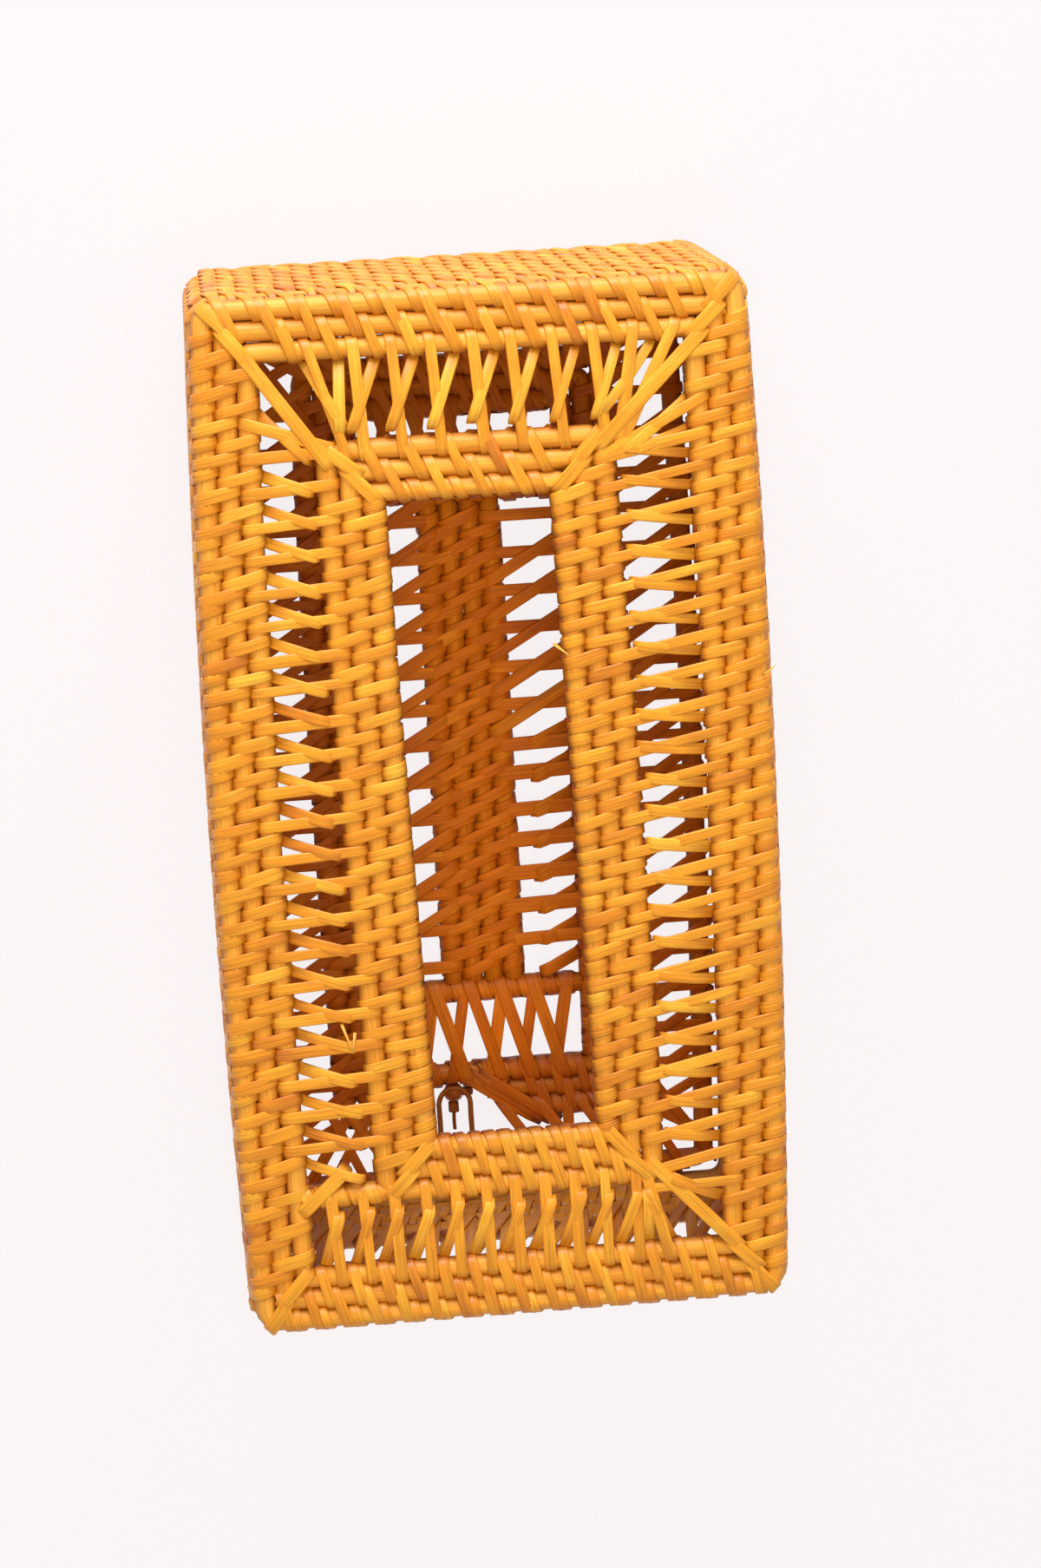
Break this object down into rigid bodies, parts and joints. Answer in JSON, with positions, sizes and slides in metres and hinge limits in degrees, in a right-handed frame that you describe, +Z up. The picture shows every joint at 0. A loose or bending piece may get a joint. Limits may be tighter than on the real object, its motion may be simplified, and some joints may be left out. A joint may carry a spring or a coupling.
{
  "type": "woven tissue box cover",
  "caption": "Rectangular cover woven from rattan canes and flat peel, with an open-laced top, a long tissue slot and a hinged bottom flap closed by a bead and cord loop.",
  "frame": {"origin": "centre of the bounding box's bottom face, on the surface it stands on", "axes": "+Y along the length to the hinge end (head), +Z up, +X to the right seen from above with head away"},
  "size_m": [0.136, 0.262, 0.09],
  "materials": {
    "cane": "round rattan core, honey stain",
    "peel": "flat rattan peel, honey stain",
    "bead": "turned dark wooden bead",
    "cord": "twisted brown cord"
  },
  "bodies": {
    "cover": {"base_lashings": "peel", "base_rim_foot": "cane", "base_rim_head": "cane", "base_rim_left": "cane", "base_rim_right": "cane", "loop_eye": "peel", "rim_corner_lashings": "peel", "slot_corner_lashings": "peel", "slot_frame_foot": "cane", "slot_frame_head": "cane", "slot_frame_left": "cane", "slot_frame_right": "cane", "top_lacing_foot": "peel", "top_lacing_head": "peel", "top_lacing_left": "peel", "top_lacing_right": "peel", "top_rim_foot": "cane", "top_rim_head": "cane", "top_rim_left": "cane", "top_rim_right": "cane", "wall_foot_lacing": "peel", "wall_foot_lower": "cane", "wall_foot_upper": "cane", "wall_head": "cane", "wall_left": "cane", "wall_right": "cane"},
    "flap": {"flap_band_foot": "cane", "flap_band_head": "cane", "flap_band_left": "cane", "flap_band_right": "cane", "flap_centre_band": "cane", "flap_cross_bars": "cane", "flap_lacing_foot_left": "peel", "flap_lacing_foot_right": "peel", "flap_lacing_inner_foot": "peel", "flap_lacing_inner_head": "peel", "flap_lacing_inner_left": "peel", "flap_lacing_inner_right": "peel", "flap_lacing_outer_head": "peel", "flap_lacing_outer_left": "peel", "flap_lacing_outer_right": "peel", "flap_rim_foot": "cane", "flap_rim_head": "cane", "flap_rim_left": "cane", "flap_rim_right": "cane", "hinge_lashings": "peel", "closing_bead": "bead", "bead_tie": "cord"},
    "closing_loop_body": {"closing_loop": "cord"}
  },
  "joints": [
    {"name": "flap_hinge", "type": "hinge", "parent": "cover", "child": "flap", "pos_m": [0, 0.12725, 0.0035], "axis": [1, 0, 0], "range_deg": [0, 120]},
    {"name": "loop_swing", "type": "hinge", "parent": "cover", "child": "closing_loop_body", "pos_m": [-0.01, -0.1243, 0.0101], "axis": [1, 0, 0], "range_deg": [0, 80]}
  ]
}
